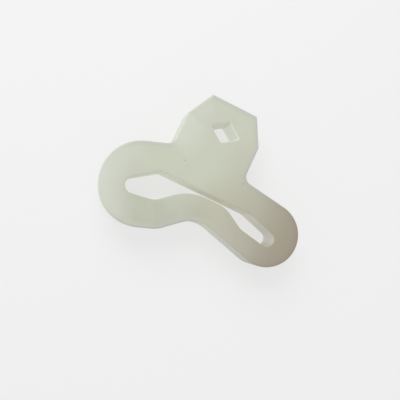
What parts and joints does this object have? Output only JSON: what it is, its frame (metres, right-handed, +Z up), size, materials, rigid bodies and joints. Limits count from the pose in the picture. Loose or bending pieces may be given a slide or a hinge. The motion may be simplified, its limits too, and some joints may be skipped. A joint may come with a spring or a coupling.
{
  "type": "spring clamp",
  "caption": "Soft moulded squeeze clamp: a six-sided head with a hanging eye, a flat fixed jaw, rounded lobes and a springy arm whose pad closes against the jaw.",
  "frame": {"origin": "on the bottom face, where the head's axis meets the flat fixed jaw", "axes": "+X along the fixed jaw from the large lobe to the pinched lobe, +Y from the jaw towards the head, +Z up through the thickness"},
  "size_m": [0.0592, 0.0434, 0.012],
  "materials": {
    "soft_moulding": "matte, milky and slightly translucent"
  },
  "bodies": {
    "frame": {"head_tab": "soft_moulding", "bridge": "soft_moulding", "left_shoulder": "soft_moulding", "left_bend": "soft_moulding", "left_arm": "soft_moulding", "right_arm": "soft_moulding", "right_bend": "soft_moulding", "right_shoulder": "soft_moulding"},
    "pad": {"press_pad": "soft_moulding"}
  },
  "joints": [
    {"name": "pad_press", "type": "slide", "parent": "frame", "child": "pad", "axis": [0, -1, 0], "range_m": [-0.001, 0.007], "stiffness_N_per_m": 800, "springref_m": 0.007, "deforming": ["left_arm", "right_arm"]}
  ]
}
